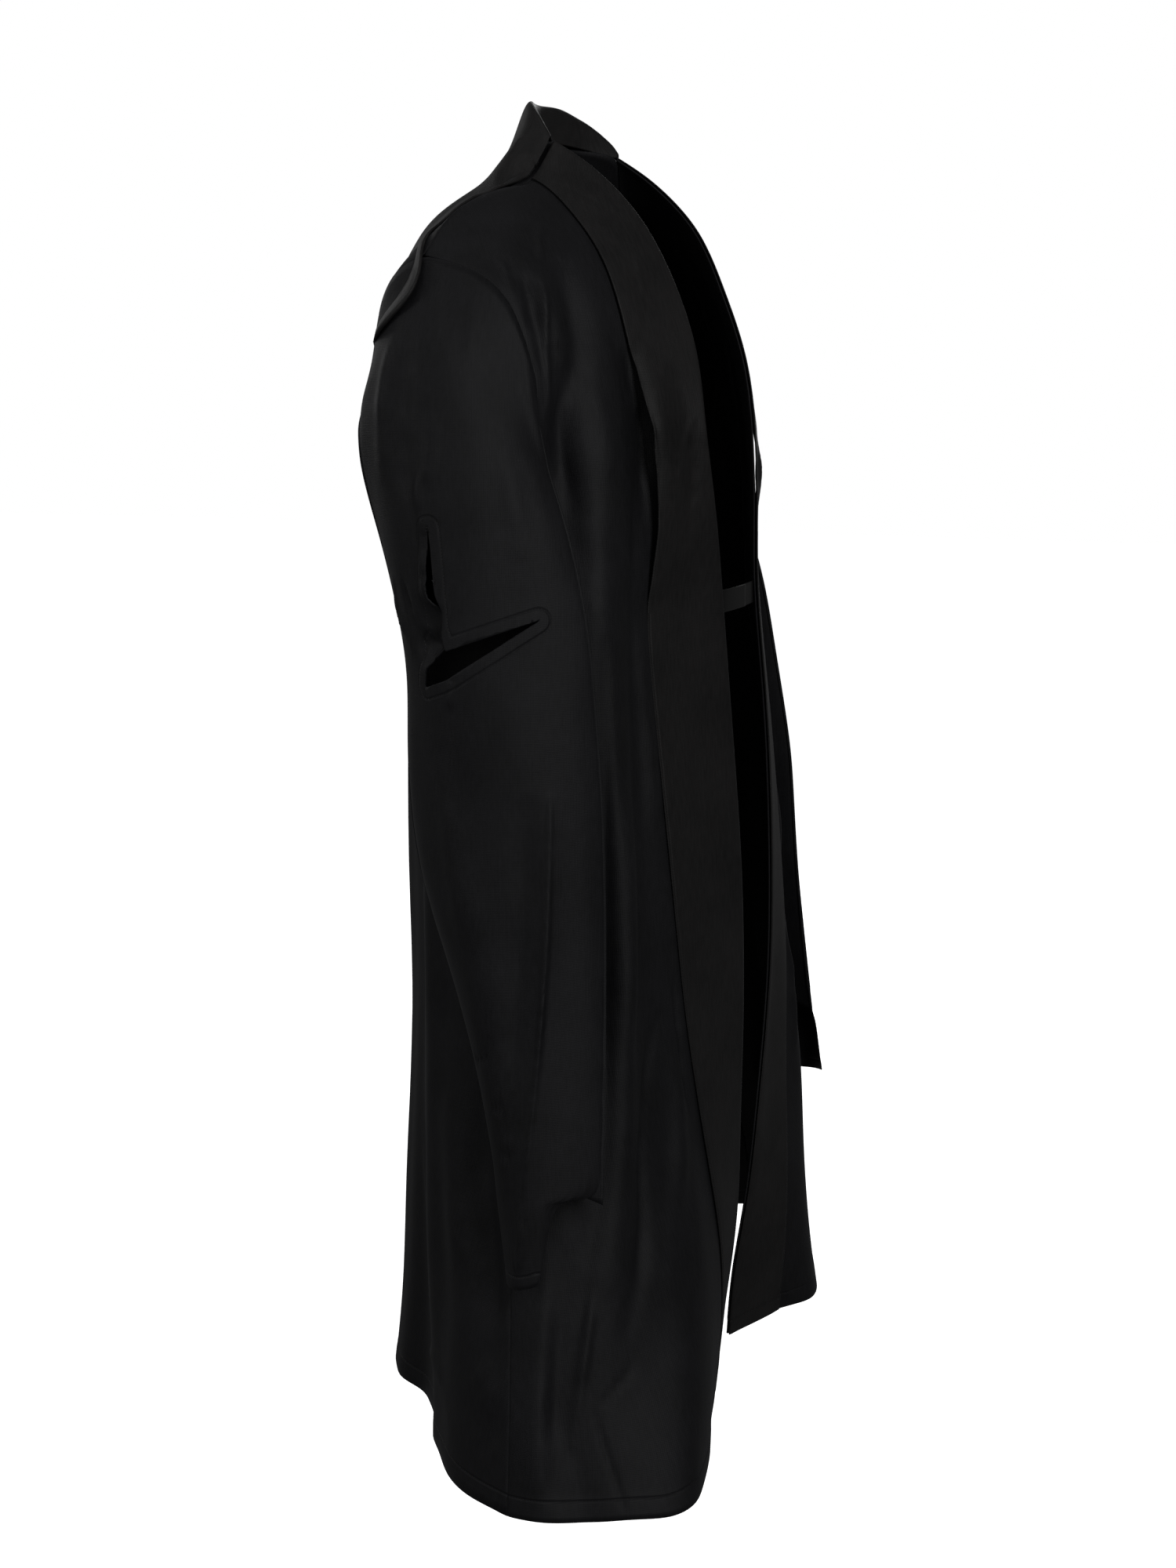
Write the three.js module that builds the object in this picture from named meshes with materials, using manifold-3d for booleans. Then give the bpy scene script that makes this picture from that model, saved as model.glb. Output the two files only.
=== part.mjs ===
// Judge gown, worn: open front with wide sewn bands, square flap collar, long closed hanging sleeves
// with a cut for the arm, and a two-part tape across the waist.
// Millimetres. Origin at the middle of the neck on the shoulder line, +Z up, front towards -Y,
// the wearer's right towards -X. Tables give the right half with x counted outwards.
import * as THREE from "three";
import { mergeVertices } from "three/addons/utils/BufferGeometryUtils.js";
import Module from "manifold-3d";

const wasm = await Module();
wasm.setup();

const CLOTH = 2.0;
const BAND_CLOTH = 2.2;
const COLLAR_CLOTH = 2.6;
const TAPE_CLOTH = 1.2;
const SEAM_GAP = 0.3;
const ARMHOLE_DRAW = 0.6;
const UNDERARM_CLEAR = 0.9;
const ROWS_PER_SECTION = 2;
const ARMPIT_SECTION = 6;
const FRONT_SEAM_ROW = 10;
const BACK_SEAM_ROW = 8;
const FRONT_COLUMNS = 15;
const NECK_COLUMNS = 12;
const BAND_COLUMNS = 3;

// Front panel, one row of points per section from shoulder to hem:
// edge, band seam, pleat, roll, fore, side (armhole, then side seam).
const FRONT_RIGHT = [
  [[88, 15, 15], [122, 25, -24], [158, 37, -32], [198, 50, -44], [238, 62, -66], [270, 71, -100]],
  [[88, -28, -14], [140, -4, -40], [168, 4, -48], [204, 10, -62], [240, 24, -88], [271, 40, -107]],
  [[88, -75, -62], [152, -46, -82], [178, -34, -88], [208, -24, -98], [241, -10, -112], [271, 8, -121]],
  [[90, -110, -125], [164, -72, -130], [190, -60, -134], [214, -42, -138], [240, -38, -142], [270, -12, -142]],
  [[98, -135, -190], [162, -88, -192], [186, -82, -192], [212, -62, -190], [238, -48, -186], [268, -28, -178]],
  [[112, -149, -259], [156, -100, -259], [180, -95, -258], [206, -82, -256], [236, -56, -252], [264, -39, -246]],
  [[82, -150, -340], [150, -106, -338], [180, -100, -336], [207, -93, -335], [238, -66, -335], [248, 22, -335]],
  [[57, -150, -430], [156, -103, -430], [186, -98, -430], [212, -98, -430], [242, -80, -430], [252, 8, -430]],
  [[46, -158, -560], [150, -114, -560], [184, -102, -560], [217, -108, -560], [248, -90, -560], [256, 0, -560]],
  [[38, -167, -700], [150, -130, -700], [188, -112, -700], [228, -117, -700], [254, -92, -700], [268, -8, -700]],
  [[34, -170, -840], [140, -142, -840], [190, -122, -840], [246, -119, -840], [272, -92, -840], [292, -18, -840]],
  [[34, -168, -970], [125, -158, -970], [180, -152, -970], [274, -126, -970], [304, -94, -970], [326, -32, -970]],
  [[22, -163, -1080], [112, -172, -1080], [236, -184, -1080], [316, -132, -1080], [340, -96, -1080], [356, -44, -1080]],
  [[12, -150, -1170], [104, -172, -1170], [284, -207, -1170], [350, -134, -1170], [374, -98, -1170], [384, -54, -1170]],
  [[14, -139, -1254], [102, -164, -1254], [320, -221, -1254], [372, -166, -1254], [398, -116, -1254], [405, -60, -1254]],
];

// The left front stands further open: edge, band seam, pleat and roll. The rest is as on the right.
const FRONT_LEFT = [
  [[88, 15, 15], [122, 25, -24], [158, 37, -32], [198, 50, -44]],
  [[84, -28, -14], [136, -4, -40], [166, 4, -48], [204, 10, -62]],
  [[72, -78, -62], [142, -50, -82], [174, -34, -88], [208, -24, -98]],
  [[56, -112, -125], [142, -80, -130], [180, -62, -134], [214, -42, -138]],
  [[58, -135, -190], [148, -96, -192], [182, -82, -192], [212, -62, -190]],
  [[50, -148, -259], [140, -112, -259], [178, -97, -258], [206, -82, -256]],
  [[55, -150, -340], [146, -118, -338], [180, -102, -336], [207, -93, -335]],
  [[60, -150, -430], [152, -122, -430], [186, -102, -430], [212, -98, -430]],
  [[84, -156, -560], [172, -132, -560], [200, -112, -560], [222, -106, -560]],
  [[82, -164, -700], [172, -146, -700], [204, -130, -700], [232, -114, -700]],
  [[72, -168, -840], [162, -160, -840], [200, -154, -840], [248, -119, -840]],
  [[42, -167, -970], [134, -170, -970], [194, -176, -970], [276, -126, -970]],
  [[30, -160, -1080], [121, -178, -1080], [198, -182, -1080], [312, -126, -1080]],
  [[20, -148, -1170], [110, -180, -1170], [192, -192, -1170], [340, -128, -1170]],
  [[34, -138, -1254], [118, -172, -1254], [180, -206, -1254], [362, -142, -1254]],
];

// Back panel, one row per section: centre, inner, blade, outer, flank, side.
const BACK = [
  [[0, 64, 24], [52, 50, 22], [88, 15, 15], [142, 31, -28], [206, 52, -47], [270, 71, -100]],
  [[0, 90, -6], [54, 80, -10], [104, 54, -29], [160, 58, -43], [216, 68, -62], [271, 96, -111]],
  [[0, 128, -34], [58, 116, -40], [110, 88, -44], [168, 84, -56], [224, 88, -94], [271, 112, -134]],
  [[0, 160, -72], [60, 150, -78], [116, 122, -84], [174, 110, -96], [232, 108, -136], [270, 120, -165]],
  [[0, 186, -126], [64, 177, -130], [122, 152, -138], [182, 130, -150], [236, 120, -176], [268, 120, -207]],
  [[0, 198, -204], [68, 190, -207], [130, 168, -216], [192, 142, -230], [238, 124, -248], [262, 102, -270]],
  [[0, 198, -310], [70, 189, -312], [134, 164, -316], [198, 132, -322], [240, 90, -330], [248, 22, -335]],
  [[0, 192, -430], [71, 189, -430], [137, 157, -430], [204, 119, -430], [242, 72, -430], [252, 8, -430]],
  [[0, 188, -560], [72, 186, -560], [139, 151, -560], [208, 110, -560], [246, 64, -560], [256, 0, -560]],
  [[0, 186, -700], [74, 186, -700], [142, 149, -700], [214, 107, -700], [254, 58, -700], [268, -8, -700]],
  [[0, 187, -840], [78, 187, -840], [148, 149, -840], [224, 103, -840], [270, 50, -840], [292, -18, -840]],
  [[0, 190, -970], [84, 190, -970], [154, 151, -970], [234, 97, -970], [290, 42, -970], [326, -32, -970]],
  [[0, 192, -1080], [90, 193, -1080], [162, 153, -1080], [241, 91, -1080], [312, 34, -1080], [356, -44, -1080]],
  [[0, 194, -1170], [94, 194, -1170], [170, 158, -1170], [245, 86, -1170], [336, 27, -1170], [384, -54, -1170]],
  [[0, 196, -1254], [97, 200, -1254], [180, 165, -1254], [248, 88, -1254], [366, 14, -1254], [405, -60, -1254]],
];

// Soft folds on top of the sections, one row each: place across at the top and at the hem,
// half width in places, first and last section, height (negative sinks in).
const FRONT_FOLDS = [
  [3.9, 3.7, 0.3, 0, 6, 5],
  [1.7, 1.9, 0.35, 3, 9, -5],
  [2.5, 2.4, 0.3, 7, 15, -9],
  [3.6, 3.6, 0.3, 9, 15, -8],
  [4.5, 4.5, 0.28, 8, 15, 8],
];
const BACK_FOLDS = [
  [0, 0, 0.3, 3, 15, -6],
  [0.75, 0.7, 0.26, 3, 15, 4],
  [1.5, 1.45, 0.28, 3, 15, -8],
  [2.6, 2.55, 0.3, 5, 15, -7],
  [3.6, 3.4, 0.26, 7, 15, 6],
];

// Sleeve below the armhole, one row per section: front seam, outer middle, back seam, inner middle.
const SLEEVE = [
  [[265, -48, -290], [312, 50, -168], [276, 137, -243], [271, 46, -342]],
  [[269, -66, -336], [324, 46, -235], [274, 137, -285], [271, 34, -374]],
  [[272, -82, -392], [330, 36, -310], [270, 126, -336], [270, 24, -408]],
  [[274, -93, -450], [334, 22, -400], [274, 108, -395], [270, 12, -446]],
  [[275, -100, -520], [338, 2, -495], [277, 90, -480], [271, 0, -500]],
  [[278, -107, -600], [341, -8, -588], [280, 90, -570], [274, -6, -582]],
  [[284, -112, -690], [346, -16, -680], [287, 76, -668], [282, -14, -674]],
  [[294, -116, -780], [351, -32, -772], [300, 40, -757], [296, -32, -764]],
  [[310, -121, -866], [358, -50, -856], [316, 6, -846], [318, -54, -852]],
  [[331, -127, -964], [368, -66, -946], [338, -22, -938], [340, -72, -946]],
];
// The outer panel runs on below the under panel to a narrow end: front edge, middle, back edge.
const SLEEVE_END_RIGHT = [
  [[352, -89, -950], [372, -62, -962], [342, -26, -962]],
  [[364, -84, -992], [376, -60, -1000], [350, -34, -1000]],
  [[372, -80, -1034], [378, -60, -1040], [360, -43, -1042]],
];
const SLEEVE_END_LEFT = [
  [[338, -152, -976], [372, -100, -972], [344, -48, -966]],
  [[340, -156, -1010], [372, -116, -1012], [348, -72, -1008]],
  [[342, -160, -1042], [370, -132, -1050], [354, -104, -1048]],
];
// The left sleeve hangs further forward towards its end.
const LEFT_SWING = 22;

// Cut for the arm, on the outer panel, as points of y and z: a slit above and a gap in front of it.
const ARM_CUT = [
  [42, -341], [43, -400], [48, -462], [52, -490], [22, -479], [-22, -450], [-58, -424], [-22, -437],
  [23, -453], [32, -434], [36, -392], [39, -360],
];

// Collar, by columns from the middle of the back to the front end:
// neck seam, stand, fold, shoulder, half way, outer edge.
const COLLAR = [
  [[0, 66, 26.4], [0, 65, 48], [0, 70, 64], [0, 102, -4], [0, 182, -60], [0, 224, -176]],
  [[28, 61, 26.4], [30, 60, 47], [34, 63, 63], [46, 88, -6], [58, 165, -60], [66, 218, -176]],
  [[54, 50, 24.4], [56, 50, 44], [62, 54, 56], [84, 80, -14], [112, 144, -63], [132, 197, -174]],
  [[70, 38, 21.4], [73, 39, 38], [80, 43, 48], [114, 72, -20], [158, 119, -64], [212, 134, -158]],
  [[80, 28, 18.4], [83, 29, 30], [90, 32, 38], [124, 56, -19], [166, 84, -37], [212, 92, -74]],
  [[86, 21, 16.4], [89, 22, 24], [95, 23, 28], [120, 38, -17], [152, 54, -31], [186, 66, -39]],
  [[89, 16, 16.4], [91, 17, 20], [96, 18, 18], [110, 24, -5], [124, 30, -19], [140, 36, -26]],
];

// Tape across the waist: rows as places down the front sections, then its path from the fixed end.
const TAPE_ROWS = [6.88, 7, 7.09];
const TAPE_SET_IN = [0.24, 0.12, 0.02];
const TAPE_FREE_RIGHT = [[-52, -150.2], [-20, -152.4], [16, -152.6]];
const TAPE_FREE_LEFT = [[52, -149.2], [22, -150.6], [-14, -150.8]];

// How far the free outer edge of each band stands off the front, down its rows.
const BAND_LIFT = [0, 1, 2, 3, 4, 5, 6, 8, 10, 12, 14, 13, 9, 4];

// Smooth curve through rows of numbers, at a place counted in rows.
function through(rows, place) {
  const last = rows.length - 1;
  const here = Math.min(Math.max(Math.floor(place), 0), last - 1);
  const t = place - here;
  const before = rows[Math.max(here - 1, 0)];
  const [from, to] = [rows[here], rows[here + 1]];
  const after = rows[Math.min(here + 2, last)];
  return from.map((_, axis) => {
    const slopeIn = here === 0 ? to[axis] - from[axis] : (to[axis] - before[axis]) / 2;
    const slopeOut = here + 1 === last ? to[axis] - from[axis] : (after[axis] - from[axis]) / 2;
    const t2 = t * t;
    const t3 = t2 * t;
    return (2 * t3 - 3 * t2 + 1) * from[axis] + (t3 - 2 * t2 + t) * slopeIn
      + (3 * t2 - 2 * t3) * to[axis] + (t3 - t2) * slopeOut;
  });
}

// Grid of points over a table of sections, grid[row][column], at the column places given.
function gridOf(table, rows, places, side) {
  const grid = [];
  for (let row = 0; row <= rows; row += 1) {
    const down = (row / rows) * (table.length - 1);
    const lines = table[0].map((_, line) => through(table.map((section) => section[line]), down));
    grid.push(places.map((place) => {
      const [x, y, z] = through(lines, place);
      return new THREE.Vector3(side * x, y, z);
    }));
  }
  return grid;
}

// Even steps from one place to another, without the first.
const steps = (from, to, count) => Array.from({ length: count }, (_, step) => from + ((to - from) * (step + 1)) / count);

// Normals of a grid, pointing to the side given by sign.
function normalsOf(grid, sign) {
  return grid.map((line, row) => line.map((_, column) => {
    const above = grid[Math.max(row - 1, 0)][column];
    const below = grid[Math.min(row + 1, grid.length - 1)][column];
    const left = line[Math.max(column - 1, 0)];
    const right = line[Math.min(column + 1, line.length - 1)];
    const down = below.clone().sub(above);
    return right.clone().sub(left).cross(down).normalize().multiplyScalar(sign);
  }));
}

// Panels that meet share one normal along their seam, so their edges face each other squarely.
function shareNormals(panels) {
  const found = new Map();
  const each = (use) => Object.entries(panels).forEach(([name, panel]) => panel.grid.forEach((line, row) => {
    line.forEach((point, column) => {
      const edge = row === 0 || column === 0 || row === panel.grid.length - 1 || column === line.length - 1;
      if (edge) {
        const key = point.toArray().map((value) => Math.floor(value * 4 + 0.1)).join();
        use(key, name.startsWith("sleeve") ? "sleeve" : "body", panel.normals[row][column]);
      }
    });
  }));
  each((key, part, normal) => {
    if (!found.has(key)) {
      found.set(key, { sleeve: new THREE.Vector3(), body: new THREE.Vector3() });
    }
    found.get(key)[part].add(normal);
  });
  each((key, part, normal) => {
    const { sleeve, body } = found.get(key);
    normal.copy(sleeve.clone().normalize().add(body.clone().normalize())).normalize();
  });
}

// Draws the edge of a panel back by half a seam gap, along the cloth.
function trimmed(grid, normals, gap, topGap) {
  const rows = grid.length - 1;
  const columns = grid[0].length - 1;
  return grid.map((line, row) => line.map((point, column) => {
    const moved = point.clone();
    const pull = (from, to, inside, distance) => {
      const across = to.clone().sub(from).cross(normals[row][column]).normalize();
      moved.addScaledVector(across, across.dot(inside.clone().sub(point)) < 0 ? -distance : distance);
    };
    if (row === 0 || row === rows) {
      const inside = grid[row === 0 ? 1 : rows - 1][column];
      pull(line[Math.max(column - 1, 0)], line[Math.min(column + 1, columns)], inside, row === 0 ? topGap : gap);
    }
    if (column === 0 || column === columns) {
      const inside = line[column === 0 ? 1 : columns - 1];
      pull(grid[Math.max(row - 1, 0)][column], grid[Math.min(row + 1, rows)][column], inside, gap);
    }
    return moved;
  }));
}

// Closed wall between two offsets of a grid along its normals.
function wallOf(grid, normals, inner, outer) {
  const rows = grid.length;
  const columns = grid[0].length;
  const positions = [];
  [outer, inner].forEach((offset) => grid.forEach((line, row) => line.forEach((point, column) => {
    const shift = typeof offset === "function" ? offset(row, column) : offset;
    positions.push(...point.clone().addScaledVector(normals[row][column], shift).toArray());
  })));
  const at = (skin, row, column) => skin * rows * columns + row * columns + column;
  const faces = [];
  const quad = (a, b, c, d) => faces.push(a, b, c, a, c, d);
  for (let row = 0; row < rows - 1; row += 1) {
    for (let column = 0; column < columns - 1; column += 1) {
      const around = [[row, column], [row, column + 1], [row + 1, column + 1], [row + 1, column]];
      const [p, q, r, s] = around.map(([down, along]) => grid[down][along]);
      if (q.distanceTo(s) < p.distanceTo(r)) {
        around.push(around.shift());
      }
      quad(...around.map(([down, along]) => at(0, down, along)));
      quad(...[0, 3, 2, 1].map((corner) => at(1, ...around[corner])));
    }
  }
  // The rim's diagonal goes by height, so two rims along one seam are split alike.
  const rim = (from, to) => {
    const heights = [from, to].map(([row, column]) => grid[row][column].z + grid[row][column].y / 100);
    const corners = [at(0, ...from), at(0, ...to), at(1, ...to), at(1, ...from)];
    quad(...(heights[0] < heights[1] ? corners : [...corners.slice(1), corners[0]]));
  };
  for (let column = 0; column < columns - 1; column += 1) {
    rim([0, column + 1], [0, column]);
    rim([rows - 1, column], [rows - 1, column + 1]);
  }
  for (let row = 0; row < rows - 1; row += 1) {
    rim([row, 0], [row + 1, 0]);
    rim([row + 1, columns - 1], [row, columns - 1]);
  }
  const geometry = new THREE.BufferGeometry();
  geometry.setAttribute("position", new THREE.Float32BufferAttribute(positions, 3));
  geometry.setIndex(faces);
  const [p, q, r] = [new THREE.Vector3(), new THREE.Vector3(), new THREE.Vector3()];
  let volume = 0;
  for (let face = 0; face < faces.length; face += 3) {
    p.fromArray(positions, faces[face] * 3);
    q.fromArray(positions, faces[face + 1] * 3);
    r.fromArray(positions, faces[face + 2] * 3);
    volume += p.dot(q.clone().cross(r));
  }
  if (volume < 0) {
    geometry.setIndex(faces.map((_, index) => faces[index - (index % 3) + 2 - (index % 3)]));
  }
  return geometry;
}

// Takes one closed shape out of another.
function cutOut(geometry, tool) {
  const solids = [geometry, tool].map((shape) => {
    const bare = shape.clone();
    bare.deleteAttribute("normal");
    bare.deleteAttribute("uv");
    const merged = mergeVertices(bare, 1e-4);
    return new wasm.Manifold(new wasm.Mesh({
      numProp: 3,
      vertProperties: new Float32Array(merged.attributes.position.array),
      triVerts: new Uint32Array(merged.index.array),
    }));
  });
  const mesh = solids[0].subtract(solids[1]).getMesh();
  const cut = new THREE.BufferGeometry();
  cut.setAttribute("position", new THREE.Float32BufferAttribute(mesh.vertProperties, 3));
  cut.setIndex([...mesh.triVerts]);
  return cut;
}

const clothMaterial = () => new THREE.MeshStandardMaterial({ color: 0x19191a, roughness: 0.85, metalness: 0 });
const tapeMaterial = () => new THREE.MeshStandardMaterial({ color: 0x121213, roughness: 0.5, metalness: 0 });

const group = new THREE.Group();
group.name = "judge_gown";

function add(name, geometry, material) {
  const mesh = new THREE.Mesh(geometry, material);
  mesh.name = name;
  group.add(mesh);
}

const bodyRows = (FRONT_RIGHT.length - 1) * ROWS_PER_SECTION;
const armpitRow = ARMPIT_SECTION * ROWS_PER_SECTION;
const frontLeft = FRONT_RIGHT.map((section, row) => [...FRONT_LEFT[row], ...section.slice(4)]);
const backFull = BACK.map((section) => [
  ...section.slice().reverse(),
  ...section.slice(1).map(([x, y, z]) => [-x, y, z]),
]);

const frontPlaces = [0, ...steps(0, 5, FRONT_COLUMNS)];
const backPlaces = [0, ...steps(0, 3, FRONT_COLUMNS), ...steps(3, 7, NECK_COLUMNS), ...steps(7, 10, FRONT_COLUMNS)];
const backColumns = backPlaces.length - 1;
const panels = {
  front_right: { grid: gridOf(FRONT_RIGHT, bodyRows, frontPlaces, -1), outwards: 1 },
  front_left: { grid: gridOf(frontLeft, bodyRows, frontPlaces, 1), outwards: -1 },
  back: { grid: gridOf(backFull, bodyRows, backPlaces, -1), outwards: 1 },
};

// Moves a panel's points along its normals by the folds, which grow from their first section down.
function foldInto(panel, places, folds, placeFromCentre) {
  const normals = normalsOf(panel.grid, panel.outwards);
  panel.grid.forEach((line, row) => line.forEach((point, column) => {
    const down = row / ROWS_PER_SECTION;
    const place = placeFromCentre(places[column]);
    folds.forEach(([top, hem, width, first, last, height]) => {
      const centre = top + ((hem - top) * down) / (FRONT_RIGHT.length - 1);
      const along = Math.min(Math.max((down - first) / (last - first), 0), 1);
      const swell = last > 14 ? Math.sin((along * Math.PI) / 2) : Math.sin(along * Math.PI);
      point.addScaledVector(normals[row][column], height * swell * Math.exp(-(((place - centre) / width) ** 2)));
    });
  }));
}
foldInto(panels.front_right, frontPlaces, FRONT_FOLDS, (place) => place);
foldInto(panels.front_left, frontPlaces, FRONT_FOLDS, (place) => place);
foldInto(panels.back, backPlaces, BACK_FOLDS, (place) => Math.abs(place - 5));

// Fronts and back share their shoulder seams, and their side seams below the armpit.
[["front_right", 0, -1], ["front_left", backColumns, 1]].forEach(([name, column, side]) => {
  for (let row = armpitRow; row <= bodyRows; row += 1) {
    panels.back.grid[row][column].copy(panels[name].grid[row][FRONT_COLUMNS]);
  }
  panels[name].grid[0].forEach((point, step) => {
    panels.back.grid[0][column - side * (FRONT_COLUMNS - step)].copy(point);
  });
});

// Sleeves hang from the armholes: their top edges are the armhole edges of front and back.
function sleeveGrids(front, back, backColumn, side) {
  const frontEdge = front.map((line) => line[line.length - 1]);
  const backEdge = back.map((line) => line[backColumn]);
  const overTop = [
    ...frontEdge.slice(0, FRONT_SEAM_ROW + 1).reverse(),
    ...backEdge.slice(1, BACK_SEAM_ROW + 1),
  ];
  const underArm = [
    ...frontEdge.slice(FRONT_SEAM_ROW, armpitRow + 1),
    ...backEdge.slice(BACK_SEAM_ROW, armpitRow).reverse(),
  ];
  const arch = (start, middle, end, count) => {
    const points = [];
    for (let column = 0; column <= count; column += 1) {
      const s = column / count;
      const rise = Math.sin(Math.PI * s) ** 0.75;
      points.push(new THREE.Vector3(...[0, 1, 2].map((axis) => {
        const chord = start[axis] * (1 - s) + end[axis] * s;
        return (axis === 0 ? side : 1) * (chord + (middle[axis] - (start[axis] + end[axis]) / 2) * rise);
      })));
    }
    return points;
  };
  const fine = (table, steps) => {
    const rows = [];
    for (let row = 0; row <= (table.length - 1) * steps; row += 1) {
      rows.push(table[0].map((_, line) => through(table.map((section) => section[line]), row / steps)));
    }
    return rows;
  };
  const sections = fine(SLEEVE, 2);
  if (side > 0) {
    sections.flat().forEach((point) => {
      point[1] -= LEFT_SWING * Math.min(Math.max((-point[2] - 380) / 260, 0), 1);
    });
  }
  const ends = fine(side < 0 ? SLEEVE_END_RIGHT : SLEEVE_END_LEFT, 1);
  const outer = [overTop, ...sections.map(([start, middle, end]) => arch(start, middle, end, overTop.length - 1)),
    ...ends.map(([start, middle, end]) => arch(start, middle, end, overTop.length - 1))];
  const under = [underArm, ...sections.map(([start, , end, middle]) => arch(start, middle, end, underArm.length - 1))];
  return [outer, under];
}

[["right", 0, -1], ["left", backColumns, 1]].forEach(([name, column, side]) => {
  const [outer, under] = sleeveGrids(panels[`front_${name}`].grid, panels.back.grid, column, side);
  panels[`sleeve_${name}_outer`] = { grid: outer, outwards: -side };
  panels[`sleeve_${name}_under`] = { grid: under, outwards: side };
});

Object.values(panels).forEach((panel) => {
  panel.normals = normalsOf(panel.grid, panel.outwards);
});
shareNormals(panels);

Object.entries(panels).forEach(([name, panel]) => {
  panel.cut = trimmed(panel.grid, panel.normals, SEAM_GAP / 2, name.startsWith("sleeve") ? ARMHOLE_DRAW : SEAM_GAP / 2);
  if (name.endsWith("under")) {
    panel.cut[0].slice(1, -1).forEach((point) => point.setX(point.x + Math.sign(point.x) * UNDERARM_CLEAR));
  }
  let geometry = wallOf(panel.cut, panel.normals, -CLOTH / 2, CLOTH / 2);
  if (name.endsWith("outer")) {
    const side = name.includes("right") ? -1 : 1;
    const outline = new THREE.Shape(ARM_CUT.map(([y, z]) => new THREE.Vector2(y, z)));
    const block = new THREE.ExtrudeGeometry(outline, { depth: 80, bevelEnabled: false });
    block.applyMatrix4(new THREE.Matrix4().set(0, 0, 1, side * 340 - 40, 1, 0, 0, 0, 0, 1, 0, 0, 0, 0, 0, 1));
    geometry = cutOut(geometry, block);
  }
  add(name, geometry, clothMaterial());
});

// Bands lie on the fronts: sewn below the waist, free at the outer edge above it.
["right", "left"].forEach((name) => {
  const { cut, normals } = panels[`front_${name}`];
  const strip = (rows) => rows.map((line) => line.slice(0, BAND_COLUMNS + 1));
  const under = (row, column) => CLOTH / 2 + SEAM_GAP + (BAND_LIFT[row] || 0) * (column / BAND_COLUMNS) ** 2;
  const over = (row, column) => under(row, column) + BAND_CLOTH;
  add(`band_${name}`, wallOf(strip(cut), strip(normals), under, over), clothMaterial());
});

// Collar: stands at the nape, folds over and falls flat on the shoulders and back.
const collarHalf = COLLAR.map((column) => column.map(([x, y, z]) => [-x, y, z]));
const collarSections = COLLAR[0].map((_, line) => [
  ...collarHalf.slice(1).reverse().map((column) => column[line]),
  ...COLLAR.map((column) => column[line]),
]);
const collarGrid = gridOf(collarSections, 10, [0, ...steps(0, 12, 24)], 1);
add("collar", wallOf(collarGrid, normalsOf(collarGrid, 1), -COLLAR_CLOTH / 2, COLLAR_CLOTH / 2), clothMaterial());

// Waist tape, one half from inside each front edge, the left lapped behind the right.
[["right", -1, FRONT_RIGHT, TAPE_FREE_RIGHT], ["left", 1, frontLeft, TAPE_FREE_LEFT]].forEach(([name, side, table, free]) => {
  const normal = panels[`front_${name}`].normals[14][1];
  const grid = TAPE_ROWS.map((down) => {
    const lines = table[0].map((_, line) => through(table.map((section) => section[line]), down));
    const fixed = TAPE_SET_IN.map((place) => {
      const [x, y, z] = through(lines, place);
      return new THREE.Vector3(side * x, y, z).addScaledVector(normal, -(CLOTH + TAPE_CLOTH) / 2 - 0.7);
    });
    return [...fixed, ...free.map(([x, y]) => new THREE.Vector3(x, y, fixed[2].z))];
  });
  add(`waist_tape_${name}`, wallOf(grid, normalsOf(grid, -side), -TAPE_CLOTH / 2, TAPE_CLOTH / 2), tapeMaterial());
});

export default group;
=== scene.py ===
import math
import random

import bmesh
import bpy
import numpy as np
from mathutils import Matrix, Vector, noise
from mathutils.bvhtree import BVHTree
from mathutils.kdtree import KDTree


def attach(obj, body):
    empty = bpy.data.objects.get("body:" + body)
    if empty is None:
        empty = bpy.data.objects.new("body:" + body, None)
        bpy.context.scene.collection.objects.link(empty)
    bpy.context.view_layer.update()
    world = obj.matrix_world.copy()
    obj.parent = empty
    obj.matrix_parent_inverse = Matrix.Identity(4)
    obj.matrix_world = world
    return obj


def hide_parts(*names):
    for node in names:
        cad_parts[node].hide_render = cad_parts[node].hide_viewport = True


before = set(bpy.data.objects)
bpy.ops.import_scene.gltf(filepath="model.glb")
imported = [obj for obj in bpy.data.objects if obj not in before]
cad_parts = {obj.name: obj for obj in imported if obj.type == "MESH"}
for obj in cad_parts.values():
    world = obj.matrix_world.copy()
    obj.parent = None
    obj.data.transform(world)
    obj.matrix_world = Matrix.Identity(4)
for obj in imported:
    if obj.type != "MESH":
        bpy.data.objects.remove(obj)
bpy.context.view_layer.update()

# The camera stands 2.2 m from the neck at the wearer's right, a little in front of the shoulder,
# and looks slightly down.
camera_place = (-2.059, -0.776, -0.208)
camera_turn, camera_tilt = math.radians(-69.0), math.radians(-10.97)
bpy.ops.object.select_all(action="DESELECT")
bpy.ops.object.camera_add(location=camera_place)
camera = bpy.context.object
camera.name = "camera"
sight = Vector((
    -math.cos(camera_tilt) * math.sin(camera_turn),
    math.cos(camera_tilt) * math.cos(camera_turn),
    math.sin(camera_tilt),
))
camera.rotation_euler = sight.to_track_quat("-Z", "Y").to_euler()
camera.data.lens = 48.31
camera.data.sensor_width = 36.0
camera.data.clip_end = 60.0
bpy.context.scene.camera = camera


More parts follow.
